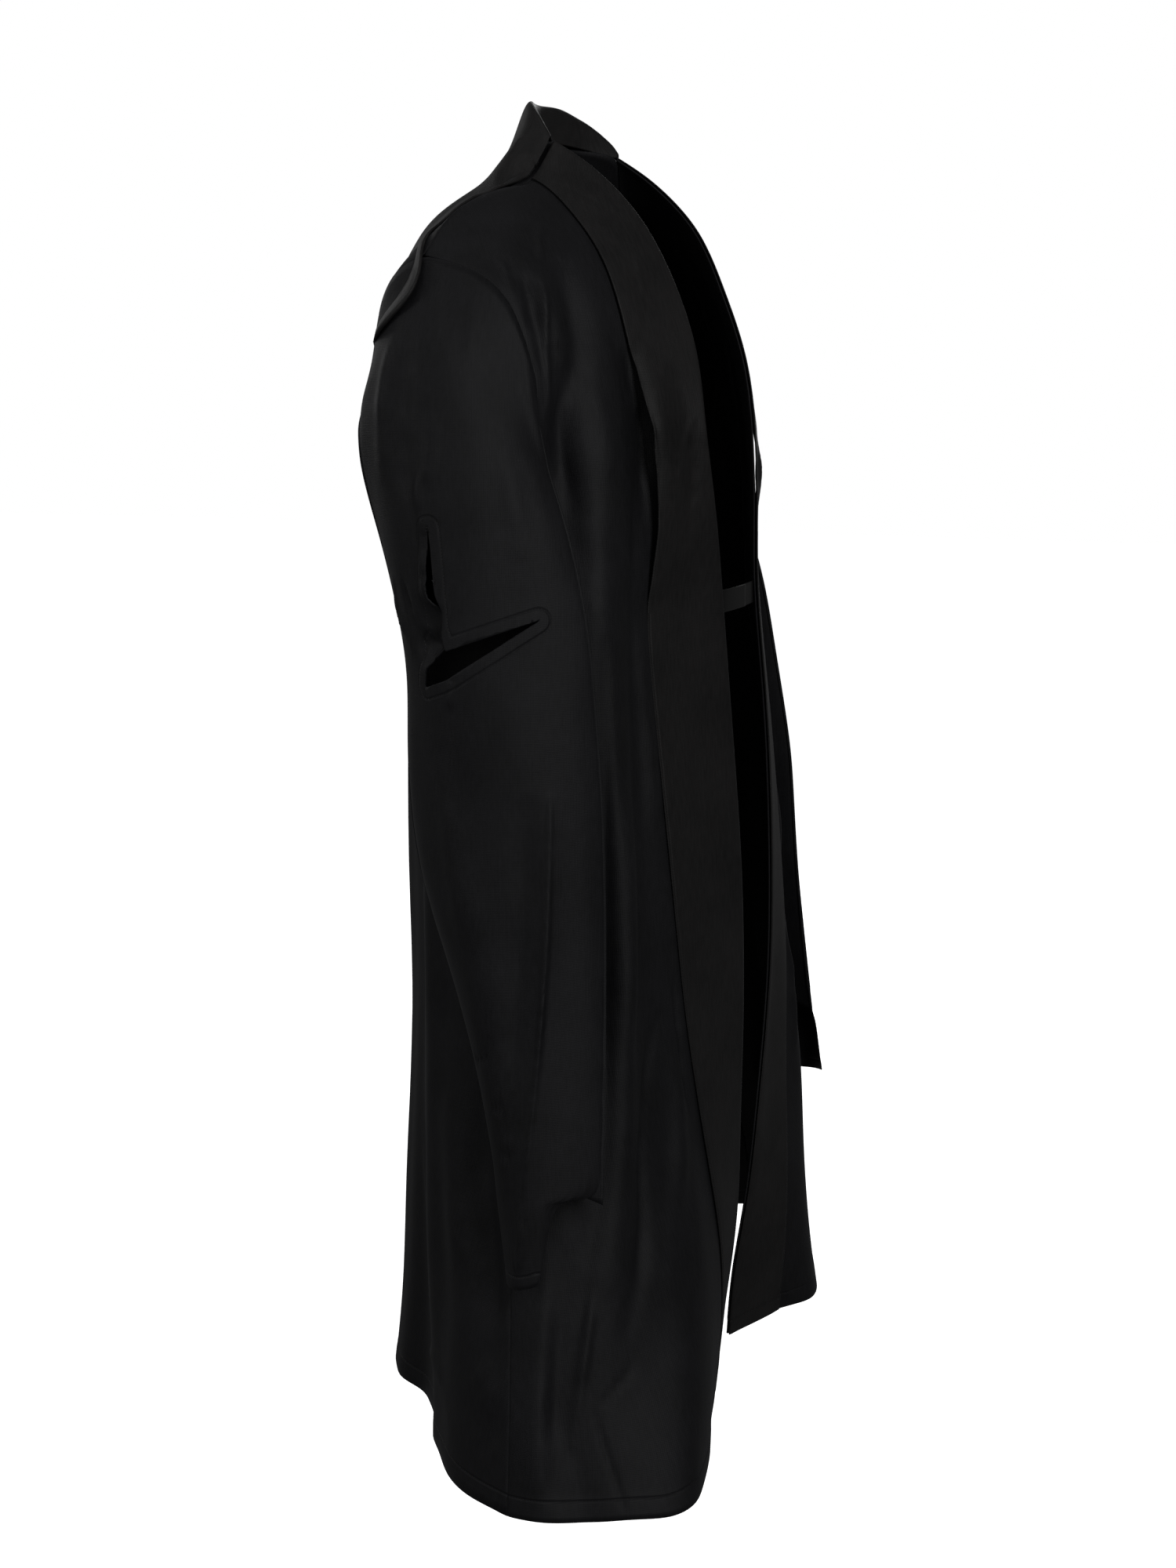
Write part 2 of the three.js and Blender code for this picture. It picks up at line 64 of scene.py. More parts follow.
# Plain white floor and a white backdrop all round, well below and behind the hanging gown.
# The floor glows as evenly as the backdrop, and soft boxes on all sides graze the folds, the
# strongest from the front and from the far side.
def stage_paint(name, glow):
    paint = bpy.data.materials.new(name)
    paint.use_nodes = True
    shader = paint.node_tree.nodes["Principled BSDF"]
    shader.inputs["Base Color"].default_value = (0.9, 0.9, 0.9, 1)
    shader.inputs["Roughness"].default_value = 1.0
    shader.inputs["Emission Color"].default_value = (1, 1, 1, 1)
    shader.inputs["Emission Strength"].default_value = glow
    return paint


bpy.ops.object.select_all(action="DESELECT")
bpy.ops.mesh.primitive_plane_add(size=30.0, location=(0, 0, -1.5))
floor = bpy.context.object
floor.name = "studio_floor"
floor.data.materials.append(stage_paint("matt_white_floor_vinyl", 0.92))
floor.visible_diffuse = False
floor.visible_glossy = False

bpy.context.scene.view_settings.view_transform = "Standard"
studio = bpy.data.worlds.new("white_studio")
bpy.context.scene.world = studio
studio.use_nodes = True
backdrop = studio.node_tree.nodes["Background"]
backdrop.inputs["Color"].default_value = (1.0, 1.0, 1.0, 1)
# The eye meets full white, and the cloth gets only a little light from all round.
seen = studio.node_tree.nodes.new("ShaderNodeLightPath")
glow = studio.node_tree.nodes.new("ShaderNodeMapRange")
glow.inputs["To Min"].default_value = 0.11
glow.inputs["To Max"].default_value = 1.0
studio.node_tree.links.new(seen.outputs["Is Camera Ray"], glow.inputs["Value"])
studio.node_tree.links.new(glow.outputs["Result"], backdrop.inputs["Strength"])

for name, place, aim, size, power in (
    ("soft_box_front", (-2.1, -2.4, 0.7), (0.0, 0.0, -0.6), (1.0, 2.0), 60),
    ("soft_box_rear", (-1.8, 2.2, 0.7), (-0.2, 0.0, -0.6), (0.7, 2.2), 20),
    ("soft_box_top", (-0.7, 0.1, 2.4), (-0.1, 0.0, 0.0), (1.4, 1.4), 8),
    ("soft_box_side", (-3.0, 0.0, 0.2), (0.0, 0.0, -0.7), (1.2, 2.0), 9),
    ("soft_box_far_side", (3.2, 0.3, 0.7), (0.0, 0.0, -0.6), (1.2, 2.0), 34),
    ("soft_box_back", (1.6, 3.2, 0.7), (0.2, 0.0, -0.6), (1.2, 2.0), 12),
):
    bpy.ops.object.light_add(type="AREA", location=place)
    lamp = bpy.context.object
    lamp.name = name
    lamp.data.shape = "RECTANGLE"
    lamp.data.size, lamp.data.size_y = size
    lamp.data.energy = power
    lamp.rotation_euler = (Vector(aim) - Vector(place)).to_track_quat("-Z", "Y").to_euler()


# Back: one wide panel of plain black gown cloth, eased into the neck and falling in soft folds.
# It is cut from a fine plain-woven polyester and viscose suiting, and its hem is turned up and
# sewn with a lockstitch.
def linear(code):
    parts = [int(code[i:i + 2], 16) / 255 for i in (1, 3, 5)]
    return (*[c / 12.92 if c <= 0.04045 else ((c + 0.055) / 1.055) ** 2.4 for c in parts], 1.0)


# Adds one node with its settings, its fixed values and what feeds it.
def add(tree, kind, settings=None, values=None, links=None):
    made = tree.nodes.new(kind)
    for key, value in (settings or {}).items():
        setattr(made, key, value)
    for socket, value in (values or {}).items():
        made.inputs[socket].default_value = value
    for socket, source in (links or {}).items():
        tree.links.new(source, made.inputs[socket])
    return made


# Piece-dyed plain weave reads near black and matt, with a fine warp and weft grain, slight
# clouding from wear and handling, and a faint sheen where it turns away from the eye.
def plain_weave(name, deep, worn, roughness, sheen):
    cloth = bpy.data.materials.new(name)
    cloth.use_nodes = True
    tree = cloth.node_tree
    shader = tree.nodes["Principled BSDF"]
    flat = add(tree, "ShaderNodeUVMap", {"uv_map": "cloth_map"}).outputs["UV"]
    place = add(tree, "ShaderNodeTexCoord").outputs["Object"]
    # Real yarns lie 0.4 mm apart. They are drawn 1.6 mm apart, the finest that shows.
    yarn = 2 * math.pi / 0.0016 / 20
    warp = add(tree, "ShaderNodeTexWave", {"bands_direction": "X"},
               {"Scale": yarn, "Distortion": 1.5, "Detail": 2.0, "Detail Scale": 0.8}, {"Vector": flat})
    weft = add(tree, "ShaderNodeTexWave", {"bands_direction": "Y"},
               {"Scale": yarn, "Distortion": 1.5, "Detail": 2.0, "Detail Scale": 0.8}, {"Vector": flat})
    grain = add(tree, "ShaderNodeMath", {"operation": "ADD"},
                links={0: warp.outputs["Fac"], 1: weft.outputs["Fac"]})
    long_slub = add(tree, "ShaderNodeMapping", values={"Scale": (420.0, 60.0, 1.0)}, links={"Vector": flat})
    slub = add(tree, "ShaderNodeTexNoise", values={"Scale": 1.0, "Detail": 2.0},
               links={"Vector": long_slub.outputs["Vector"]})
    cloud = add(tree, "ShaderNodeTexNoise", values={"Scale": 14.0, "Detail": 5.0, "Roughness": 0.62},
                links={"Vector": place})
    tone = add(tree, "ShaderNodeMix", {"data_type": "FLOAT"}, {"Factor": 0.4},
               {"A": cloud.outputs["Fac"], "B": slub.outputs["Fac"]})
    spread = add(tree, "ShaderNodeMapRange", values={"From Min": 0.3, "From Max": 0.7},
                 links={"Value": tone.outputs["Result"]})
    colour = add(tree, "ShaderNodeMix", {"data_type": "RGBA"}, {"A": linear(deep), "B": linear(worn)},
                 {"Factor": spread.outputs["Result"]})
    tree.links.new(colour.outputs["Result"], shader.inputs["Base Color"])
    weave = add(tree, "ShaderNodeBump", values={"Strength": 0.5, "Distance": 0.00012},
                links={"Height": grain.outputs["Value"]})
    slubs = add(tree, "ShaderNodeBump", values={"Strength": 0.5, "Distance": 0.0002},
                links={"Height": slub.outputs["Fac"], "Normal": weave.outputs["Normal"]})
    handled = add(tree, "ShaderNodeTexNoise", values={"Scale": 45.0, "Detail": 3.0, "Roughness": 0.5},
                  links={"Vector": place})
    rumples = add(tree, "ShaderNodeBump", values={"Strength": 0.35, "Distance": 0.0012},
                  links={"Height": handled.outputs["Fac"], "Normal": slubs.outputs["Normal"]})
    # A sewn line draws the cloth in: a narrow groove where the stitches sink.
    line = add(tree, "ShaderNodeAttribute", {"attribute_name": "sewn_line"})
    away = add(tree, "ShaderNodeMath", {"operation": "ABSOLUTE"}, links={0: line.outputs["Fac"]})
    dip = add(tree, "ShaderNodeMapRange", {"interpolation_type": "SMOOTHSTEP"},
              {"From Min": 0.0, "From Max": 0.0022}, {"Value": away.outputs["Value"]})
    sewn = add(tree, "ShaderNodeBump", values={"Strength": 0.9, "Distance": 0.0007},
               links={"Height": dip.outputs["Result"], "Normal": rumples.outputs["Normal"]})
    tree.links.new(sewn.outputs["Normal"], shader.inputs["Normal"])
    shader.inputs["Roughness"].default_value = roughness
    shader.inputs["Specular IOR Level"].default_value = 0.12
    shader.inputs["Sheen Weight"].default_value = sheen
    shader.inputs["Sheen Roughness"].default_value = 0.35
    shader.inputs["Sheen Tint"].default_value = linear("#8a8b90")
    return cloth


gown_cloth = plain_weave("black_plain_weave_suiting", "#0a0a0b", "#151517", 0.6, 0.05)


# Takes the outward face of a panel's solid wall: the narrow strips that join its two faces go,
# and so does the inward face. The panel is then smoothed and given a flat map in metres.
# middle is where the wearer or the arm stands, and wall the thickness of the solid.
def outward_face(node, name, levels, middle=(0.0, 0.0), wall=0.002):
    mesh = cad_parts[node].data.copy()
    shape = bmesh.new()
    shape.from_mesh(mesh)
    bmesh.ops.remove_doubles(shape, verts=shape.verts, dist=1e-5)
    shape.verts.ensure_lookup_table()
    # Each corner's partner is the one straight through the wall from it.
    near = KDTree(len(shape.verts))
    for vert in shape.verts:
        near.insert(vert.co, vert.index)
    near.balance()
    partner = {}
    for vert in shape.verts:
        others = [found for found in near.find_n(vert.co, 7) if found[1] != vert.index]
        partner[vert.index] = min(others, key=lambda found: abs(found[2] - wall))[1]
    strips = []
    for face in shape.faces:
        corners = [vert.index for vert in face.verts]
        joins = any(partner[a] in corners and partner[partner[a]] == a for a in corners)
        # The walls round the arm cut and the sleeve's narrow end face neither out nor in.
        cut_wall = "outer" in node and abs(face.normal.x) < 0.02
        if joins or cut_wall:
            strips.append(face)
    bmesh.ops.delete(shape, geom=strips, context="FACES")
    # What is left falls apart into the outward and the inward face.
    loose, sides = set(shape.faces), []
    while loose:
        front = [loose.pop()]
        side = list(front)
        while front:
            face = front.pop()
            for edge in face.edges:
                for other in edge.link_faces:
                    if other in loose:
                        loose.discard(other)
                        side.append(other)
                        front.append(other)
        sides.append(side)
    sides.sort(key=len, reverse=True)

    def outwardness(side):
        total = 0.0
        for face in side:
            centre = face.calc_center_median()
            total += face.calc_area() * face.normal.dot(centre - Vector((*middle, min(centre.z, -0.2))))
        return total

    kept = max(sides[:2], key=outwardness)
    bmesh.ops.delete(shape, geom=[f for side in sides if side is not kept for f in side], context="FACES")
    bmesh.ops.join_triangles(shape, faces=shape.faces, angle_face_threshold=1.2, angle_shape_threshold=3.0)
    shape.to_mesh(mesh)
    shape.free()
    mesh.materials.clear()
    lay_flat(mesh)
    piece = bpy.data.objects.new(name, mesh)
    bpy.context.scene.collection.objects.link(piece)
    bpy.ops.object.select_all(action="DESELECT")
    bpy.context.view_layer.objects.active = piece
    piece.select_set(True)
    smooth = piece.modifiers.new("smooth", "SUBSURF")
    smooth.levels = smooth.render_levels = levels
    smooth.boundary_smooth = "PRESERVE_CORNERS"
    bpy.ops.object.modifier_apply(modifier="smooth")
    bpy.ops.object.shade_smooth()
    return piece


# Unrolls a curved panel as a cutter lays it out: across and down in metres, fitted to all edges.
def lay_flat(mesh):
    count = len(mesh.vertices)
    places = np.array([vert.co for vert in mesh.vertices])
    facing = np.array([vert.normal for vert in mesh.vertices])
    ends = np.array([edge.vertices for edge in mesh.edges])
    span = places[ends[:, 1]] - places[ends[:, 0]]
    normal = facing[ends[:, 0]] + facing[ends[:, 1]]
    normal /= np.linalg.norm(normal, axis=1, keepdims=True)
    down = np.array([0.0, 0.0, -1.0]) + normal * normal[:, 2:3]
    weight = np.linalg.norm(down, axis=1, keepdims=True)
    down /= np.maximum(weight, 1e-6)
    across = np.cross(down, normal)
    rows = np.zeros((len(ends), count))
    pick = np.arange(len(ends))
    rows[pick, ends[:, 1]], rows[pick, ends[:, 0]] = weight[:, 0], -weight[:, 0]
    square = rows.T @ rows + 1e-7 * np.eye(count)
    flat = []
    for direction in (across, down):
        flat.append(np.linalg.solve(square, rows.T @ (weight[:, 0] * (span * direction).sum(1))))
    layer = mesh.uv_layers.new(name="cloth_map")
    for loop in mesh.loops:
        layer.data[loop.index].uv = (flat[0][loop.vertex_index], flat[1][loop.vertex_index])


def points_of(piece):
    places = np.empty(len(piece.data.vertices) * 3)
    piece.data.vertices.foreach_get("co", places)
    return places.reshape(-1, 3)


def facings_of(piece):
    facing = np.empty(len(piece.data.vertices) * 3)
    piece.data.vertices.foreach_get("normal", facing)
    return facing.reshape(-1, 3)


def put_points(piece, places):
    piece.data.vertices.foreach_set("co", places.ravel())
    piece.data.update()


def move_out(piece, distance):
    put_points(piece, points_of(piece) + facings_of(piece) * distance[:, None])


# A smooth run of points 4 mm apart through a few given ones, all in millimetres.
def run_through(path):
    knots = [Vector(point) for point in path]
    knots = [knots[0] * 2 - knots[1], *knots, knots[-1] * 2 - knots[-2]]
    run = []
    for a, b, c, d in zip(knots, knots[1:], knots[2:], knots[3:]):
        parts = max(2, round((c - b).length / 4))
        for step in range(parts):
            t = step / parts
            run.append(0.5 * (2 * b + (c - a) * t + (2 * a - 5 * b + 4 * c - d) * t ** 2
                              + (3 * b - a - 3 * c + d) * t ** 3))
    run.append(knots[-2])
    return np.array(run)


# Presses soft ridges and troughs into a panel. Each row gives the fold's half width and its
# height in millimetres, negative for a trough, and the points it runs through. A fold swells
# along its way, is never quite even, and dies out at both ends.
def press_folds(piece, folds, slack, seed=1, strength=1.0):
    places = points_of(piece) * 1000
    distance = np.zeros(len(places))
    for number, (half_width, height, path) in enumerate(folds):
        run = run_through(path)
        around = 4 * half_width
        near = np.all((places > run.min(0) - around) & (places < run.max(0) + around), axis=1)
        if not near.any():
            continue
        gaps = np.linalg.norm(places[near][:, None, :] - run[None, :, :], axis=2)
        at = gaps.argmin(1)
        along = at / (len(run) - 1)
        fade = np.clip(np.sin(np.pi * along), 0, 1) ** 0.7
        turn = seed * 1.7 + number * 2.3
        uneven = 1 + 0.22 * np.sin(along * 9 + turn) + 0.12 * np.sin(along * 23 + 2 * turn)
        swell = half_width * (0.8 + 0.4 * along)
        distance[near] += height * fade * uneven * np.exp(-(gaps.min(1) / swell) ** 2)
    move_out(piece, distance * slack * strength / 1000)


# The same folds for the other half of the gown, shifted and weakened so that no two match.
def mirrored(folds, seed):
    dice = random.Random(seed)
    other = []
    for half_width, height, path in folds:
        along, down = dice.uniform(-7, 7), dice.uniform(-16, 16)
        size = dice.uniform(0.65, 1.15)
        wide = dice.uniform(0.85, 1.2)
        other.append((half_width * wide, height * size,
                      [(-x, y + along, z + down) for x, y, z in path]))
    return other


# Loose cloth is never quite even: it swells and sinks by a millimetre or two, in long
# upright shapes where it hangs.
def ease(piece, slack, wide, tall, height, seed=0.0):
    places = points_of(piece)
    distance = np.array([
        noise.noise(Vector((x / wide + seed, y / wide - seed, z / tall + 2 * seed))) for x, y, z in places
    ])
    move_out(piece, distance * slack * height)


def cut_edges(mesh):
    uses = {}
    for face in mesh.polygons:
        for key in face.edge_keys:
            uses[key] = uses.get(key, 0) + 1
    return [key for key, count in uses.items() if count == 1]


# Distance of each point from some of the panel's cut edges, picked by where they lie and which
# way they run. Points beyond a metre, or with no such edge, count as a metre away.
def reach_from(piece, picked):
    places = points_of(piece)
    ends = []
    for a, b in cut_edges(piece.data):
        way = places[b] - places[a]
        if picked((places[a] + places[b]) / 2, way / np.linalg.norm(way)):
            ends.append((a, b))
    best = np.full(len(places), 1.0)
    if not ends:
        return best
    start = places[[a for a, b in ends]]
    span = places[[b for a, b in ends]] - start
    middle = KDTree(len(ends))
    for index, (a, b) in enumerate(ends):
        middle.insert((places[a] + places[b]) / 2, index)
    middle.balance()
    closest = np.array([[found[1] for found in (middle.find_n(place, 3) * 3)[:3]] for place in places])
    for column in range(3):
        pick = closest[:, column]
        t = ((places - start[pick]) * span[pick]).sum(1) / (span[pick] ** 2).sum(1)
        foot = start[pick] + span[pick] * np.clip(t, 0, 1)[:, None]
        best = np.minimum(best, np.linalg.norm(places - foot, axis=1))
    return best


# A seam holds the cloth, so folds die away towards it and joined panels stay together.
def slack_of(piece, picked, width=0.014):
    return 1 - np.exp(-(reach_from(piece, picked) / width) ** 2)


# Rises gently from 0 to 1.
def soft_step(values):
    values = np.clip(values, 0, 1)
    return values * values * (3 - 2 * values)


# Turned-up hem: a double fold of the given depth that stands a little proud of the panel,
# held by a sewn line at its upper edge.
def turn_hem(piece, picked, depth, proud=0.0006):
    line = reach_from(piece, picked) - depth
    move_out(piece, proud * soft_step(0.5 - line / 0.004))
    mark_line(piece, line)
    return line


# Draws each point's value towards its neighbours', where loose allows it.
def even_out(mesh, values, loose, rounds):
    ends = np.array([edge.vertices for edge in mesh.edges])
    links = np.bincount(ends.ravel(), minlength=len(values))[:, None]
    for _ in range(rounds):
        total = np.zeros_like(values)
        np.add.at(total, ends[:, 0], values[ends[:, 1]])
        np.add.at(total, ends[:, 1], values[ends[:, 0]])
        values = values + 0.6 * loose * (total / links - values)
    return values


# Evens out the cloth within 50 mm of an opening, where the cut leaves the points uneven.
def relax(piece, reach):
    loose = np.clip((0.05 - reach) / 0.02, 0, 1)[:, None]
    loose[[index for key in cut_edges(piece.data) for index in key]] = 0
    put_points(piece, even_out(piece.data, points_of(piece), loose, 60))


FAR_FROM_LINE = 0.05


# Keeps each point's distance from the nearest sewn line, for the groove in the cloth.
def mark_line(piece, offset):
    mesh = piece.data
    if "sewn_line" not in mesh.attributes:
        layer = mesh.attributes.new("sewn_line", "FLOAT", "POINT")
        layer.data.foreach_set("value", np.full(len(mesh.vertices), FAR_FROM_LINE))
    layer = mesh.attributes["sewn_line"]
    held = np.empty(len(mesh.vertices))
    layer.data.foreach_get("value", held)
    layer.data.foreach_set("value", np.where(np.abs(offset) < np.abs(held), offset, held))


# Where two panels are joined the cloth rolls down into the seam.
def roll_seams(piece, picked, width=0.004, depth=0.0011):
    move_out(piece, -depth * np.exp(-(reach_from(piece, picked) / width) ** 2))


# Spun polyester thread is matt black, and each stitch catches a little light of its own.
thread = bpy.data.materials.new("spun_polyester_thread")
thread.use_nodes = True
thread_shader = thread.node_tree.nodes["Principled BSDF"]
thread_place = add(thread.node_tree, "ShaderNodeTexCoord").outputs["Object"]
twist = add(thread.node_tree, "ShaderNodeTexNoise", values={"Scale": 4000.0, "Detail": 1.0},
            links={"Vector": thread_place})
plies = add(thread.node_tree, "ShaderNodeBump", values={"Strength": 0.4, "Distance": 0.0001},
            links={"Height": twist.outputs["Fac"]})
thread.node_tree.links.new(plies.outputs["Normal"], thread_shader.inputs["Normal"])
thread_shader.inputs["Base Color"].default_value = linear("#0e0e0f")
thread_shader.inputs["Roughness"].default_value = 0.45
thread_shader.inputs["Specular IOR Level"].default_value = 0.2


# Follows the line across a panel where the given values change sign, from face to face.
def trace(piece, values):
    places, facing = points_of(piece), facings_of(piece)
    beside = {}
    for face in piece.data.polygons:
        crossed = [key for key in face.edge_keys if (values[key[0]] < 0) != (values[key[1]] < 0)]
        if len(crossed) == 2:
            for here, there in (crossed, crossed[::-1]):
                beside.setdefault(here, []).append(there)
    lines = []
    while beside:
        here = min(beside, key=lambda key: (len(beside[key]), key))
        chain = [here]
        while here in beside:
            onward = [key for key in beside.pop(here) if key in beside]
            if not onward:
                break
            here = onward[0]
            chain.append(here)
        a, b = np.array(chain).T
        share = (values[a] / (values[a] - values[b]))[:, None]
        up = facing[a] + (facing[b] - facing[a]) * share
        lines.append((places[a] + (places[b] - places[a]) * share, up))
    return lines


# Lockstitch: short bars of thread, 3 mm from one to the next, sunk into the cloth at both ends.
STITCH_PITCH = 0.003
STITCH_LENGTH = 0.0023
THREAD_THICK = 0.00045
STITCH_FACES = (
    (0, 2, 1), (0, 3, 2), (0, 1, 3), (1, 2, 5, 4), (2, 3, 6, 5), (3, 1, 4, 6),
    (7, 4, 5), (7, 5, 6), (7, 6, 4),
)


def sew(piece, name, values, keep=lambda place: True):
    verts, faces = [], []
    for line, up in trace(piece, values):
        steps = np.linalg.norm(np.diff(line, axis=0), axis=1)
        run = np.concatenate([[0], np.cumsum(steps)])
        for middle in np.arange(STITCH_PITCH, run[-1] - STITCH_PITCH, STITCH_PITCH):
            ends = [np.array([np.interp(middle + shift, run, line[:, axis]) for axis in range(3)])
                    for shift in (-STITCH_LENGTH / 2, STITCH_LENGTH / 2)]
            if not keep((ends[0] + ends[1]) / 2):
                continue
            normal = np.array([np.interp(middle, run, up[:, axis]) for axis in range(3)])
            normal /= np.linalg.norm(normal)
            way = ends[1] - ends[0]
            across = np.cross(normal, way)
            across *= THREAD_THICK / 2 / np.linalg.norm(across)
            first = len(verts)
            verts.append(ends[0] - normal * THREAD_THICK * 0.3)
            for share in (0.25, 0.75):
                core = ends[0] + way * share
                verts.extend([core - across, core + normal * THREAD_THICK * 0.55, core + across])
            verts.append(ends[1] - normal * THREAD_THICK * 0.3)
            faces.extend([tuple(first + corner for corner in face) for face in STITCH_FACES])
    mesh = bpy.data.meshes.new(name)
    mesh.from_pydata([tuple(vert) for vert in verts], [], faces)
    row = bpy.data.objects.new(name, mesh)
    bpy.context.scene.collection.objects.link(row)
    mesh.materials.append(thread)
    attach(row, "root")
    return row


# Gives a finished face its thickness, its material and its place in the gown.
def make_up(piece, node, thickness, material):
    mark_line(piece, np.full(len(piece.data.vertices), FAR_FROM_LINE))
    wall = piece.modifiers.new("cloth", "SOLIDIFY")
    wall.thickness = thickness
    wall.offset = -1.0
    piece.data.materials.append(material)
    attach(piece, "root")
    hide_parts(node)


# Which cut edges are which: told by the middle of a short length of edge and its way.
def is_skirt_hem(middle, way):
    return middle[2] < -0.95 and abs(way[2]) < 0.75


def is_seam(middle, way):
    return not is_skirt_hem(middle, way)


PANEL_CLOTH = 0.0016
SKIRT_HEM = 0.019
back = outward_face("back", "back_panel", 2)
BACK_FOLDS = [
    (5, 2.2, [
        (-183, 130, -962), (-201, 117, -1056), (-230, 97, -1152), (-314, 48, -1181),
        (-355, 21, -1216),
    ]),
    (24, 5.0, [(-261, 66, -826), (-293, 39, -973), (-337, 10, -1112), (-362, -9, -1170)]),
    (16, -6.0, [(-290, 13, -875), (-317, -1, -990), (-356, -35, -1096)]),
    (8, -3.0, [(-379, -19, -1211), (-382, -48, -1170), (-378, -60, -1145)]),
    (3, -2.0, [(-397, -42, -1249), (-403, -73, -1228)]),
    (22, 4.0, [(-353, -11, -1133), (-374, -34, -1168)]),
]
# Half width, height, and how far from the middle each flute starts under the collar and ends.
BACK_FLUTES = [
    (24, -6.0, -22, -48),
    (22, 5.5, 26, 44),
    (24, -6.5, 74, 122),
    (24, 6.0, -76, -140),
    (22, -5.0, -128, -212),
    (22, 5.0, 126, 214),
    (20, -5.0, 170, 296),
    (20, 4.5, -172, -292),
]


FLUTE_TOP, FLUTE_FOOT, PAST_HEM = -205, -1245, -1450


# The fullness under the collar falls to the hem in long soft flutes that spread as they go down.
# They run on past the hem, so that they don't die out before it.
def flutes(piece, rows):
    places = points_of(piece) * 1000
    folds = []
    for half_width, height, top, foot in rows:
        path = []
        for share in (0.0, 0.2, 0.4, 0.6, 0.8, 1.0):
            across = top + (foot - top) * share
            down = FLUTE_TOP + (FLUTE_FOOT - FLUTE_TOP) * share
            nearest = np.argmin((places[:, 0] - across) ** 2 + (places[:, 2] - down) ** 2)
            path.append((across, places[nearest, 1], down))
        path.append((foot, path[-1][1], PAST_HEM))
        folds.append((half_width, height, path))
    return folds


back_slack = slack_of(back, is_seam)
press_folds(back, BACK_FOLDS, back_slack, 1, 1.3)
press_folds(back, mirrored(BACK_FOLDS, 5), back_slack, 2, 1.3)
press_folds(back, flutes(back, BACK_FLUTES), back_slack, 3)
ease(back, back_slack, 0.07, 0.30, 0.004, 3.1)
hem_line = turn_hem(back, is_skirt_hem, SKIRT_HEM)
roll_seams(back, is_seam)
rows = [sew(back, "back_hem_stitches", hem_line)]
make_up(back, "back", PANEL_CLOTH, gown_cloth)


# Fronts: a right and a left panel that hang from the shoulders and roll outwards below the
# waist, with one deep upright fold in front of the sleeve. Same cloth, same turned-up hem.
FRONT_FOLDS = [
    (4, 3.6, [(-183, -11, -66), (-204, -16, -84), (-243, -36, -133), (-255, -44, -206), (-249, -40, -279)]),
    (18, -6.5, [(-248, -42, -179), (-239, -60, -307), (-242, -80, -420)]),
    (4, -4, [(-155, -135, -790), (-149, -149, -935)]),
    (14, -4.5, [
        (-197, -35, -101), (-223, -59, -194), (-233, -59, -219), (-243, -50, -294),
        (-242, -52, -336), (-242, -63, -379),
    ]),
    (9, -4, [(-236, -14, -105), (-253, -25, -136), (-263, -41, -225)]),
    (4, 2.2, [(-248, 4, -104), (-267, -14, -138)]),
    (16, 3, [(-201, -68, -179), (-208, -77, -236), (-210, -94, -351)]),
    (7, 2.2, [(-203, -97, -366), (-165, -101, -424)]),
    (9, 3, [(-168, -100, -444), (-161, -109, -543), (-165, -119, -658)]),
    (12, -7, [(-235, -92, -437), (-260, -104, -806), (-287, -112, -952), (-315, -108, -1036)]),
    (17, 5, [(-214, -110, -588), (-250, -121, -864), (-269, -124, -943), (-313, -130, -1067)]),
    (9, -5, [
        (-169, -130, -823), (-185, -124, -838), (-204, -124, -878), (-230, -130, -927),
        (-255, -139, -1003), (-279, -145, -1051), (-320, -143, -1113),
    ]),
    (14, 4, [
        (-164, -134, -845), (-162, -140, -890), (-171, -148, -944), (-197, -156, -994),
        (-259, -166, -1076),
    ]),
    (3, -2.4, [(-309, -76, -944), (-291, -112, -968)]),
    (3, -1.8, [(-265, -83, -764), (-262, -95, -779)]),
    (6, 3.6, [(-320, -114, -1056), (-371, -111, -1195)]),
    (12, 3, [(-340, -74, -1010), (-391, -85, -1192), (-401, -88, -1246)]),
    (12, -3.5, [(-328, -90, -1010), (-383, -98, -1191), (-396, -102, -1246)]),
    (3, -2.4, [(-352, -125, -1158), (-370, -166, -1249)]),
    (3, -2, [(-349, -130, -1159), (-311, -157, -1125)]),
    (8, -3, [(-379, -19, -1211), (-382, -48, -1170), (-378, -60, -1145)]),
    (3, -2, [(-397, -42, -1249), (-403, -73, -1228)]),
    (10, -6, [(-166, -88, -180), (-155, -102, -270), (-158, -103, -350)]),
]
# The left front swings out further and has small folds of its own beside the band.
LEFT_FRONT_FOLDS = [
    (26, 8, [(208, -95, -400), (228, -117, -700), (262, -122, -930)]),
    (7, 3.0, [(178, -165, -800), (183, -166, -883), (170, -177, -962)]),
    (3, 1.6, [(119, -180, -1092), (90, -174, -1106)]),
    (3, 1.4, [(123, -181, -1223), (127, -181, -1248)]),
    (3, 1.4, [(92, -173, -1189), (77, -165, -1207)]),
]
fronts = {}
for side, folds, seed in (
    ("right", FRONT_FOLDS, 1),
    ("left", mirrored(FRONT_FOLDS, 11) + LEFT_FRONT_FOLDS, 4),
):
    front = outward_face(f"front_{side}", f"front_panel_{side}", 3)
    slack = slack_of(front, is_seam)
    press_folds(front, folds, slack, seed, 1.3)
    ease(front, slack, 0.07, 0.30, 0.003, 3.1)
    hem_line = turn_hem(front, is_skirt_hem, SKIRT_HEM)
    roll_seams(front, is_seam)
    rows = [sew(front, f"front_hem_stitches_{side}", hem_line)]
    make_up(front, f"front_{side}", PANEL_CLOTH, gown_cloth)
    fronts[side] = front


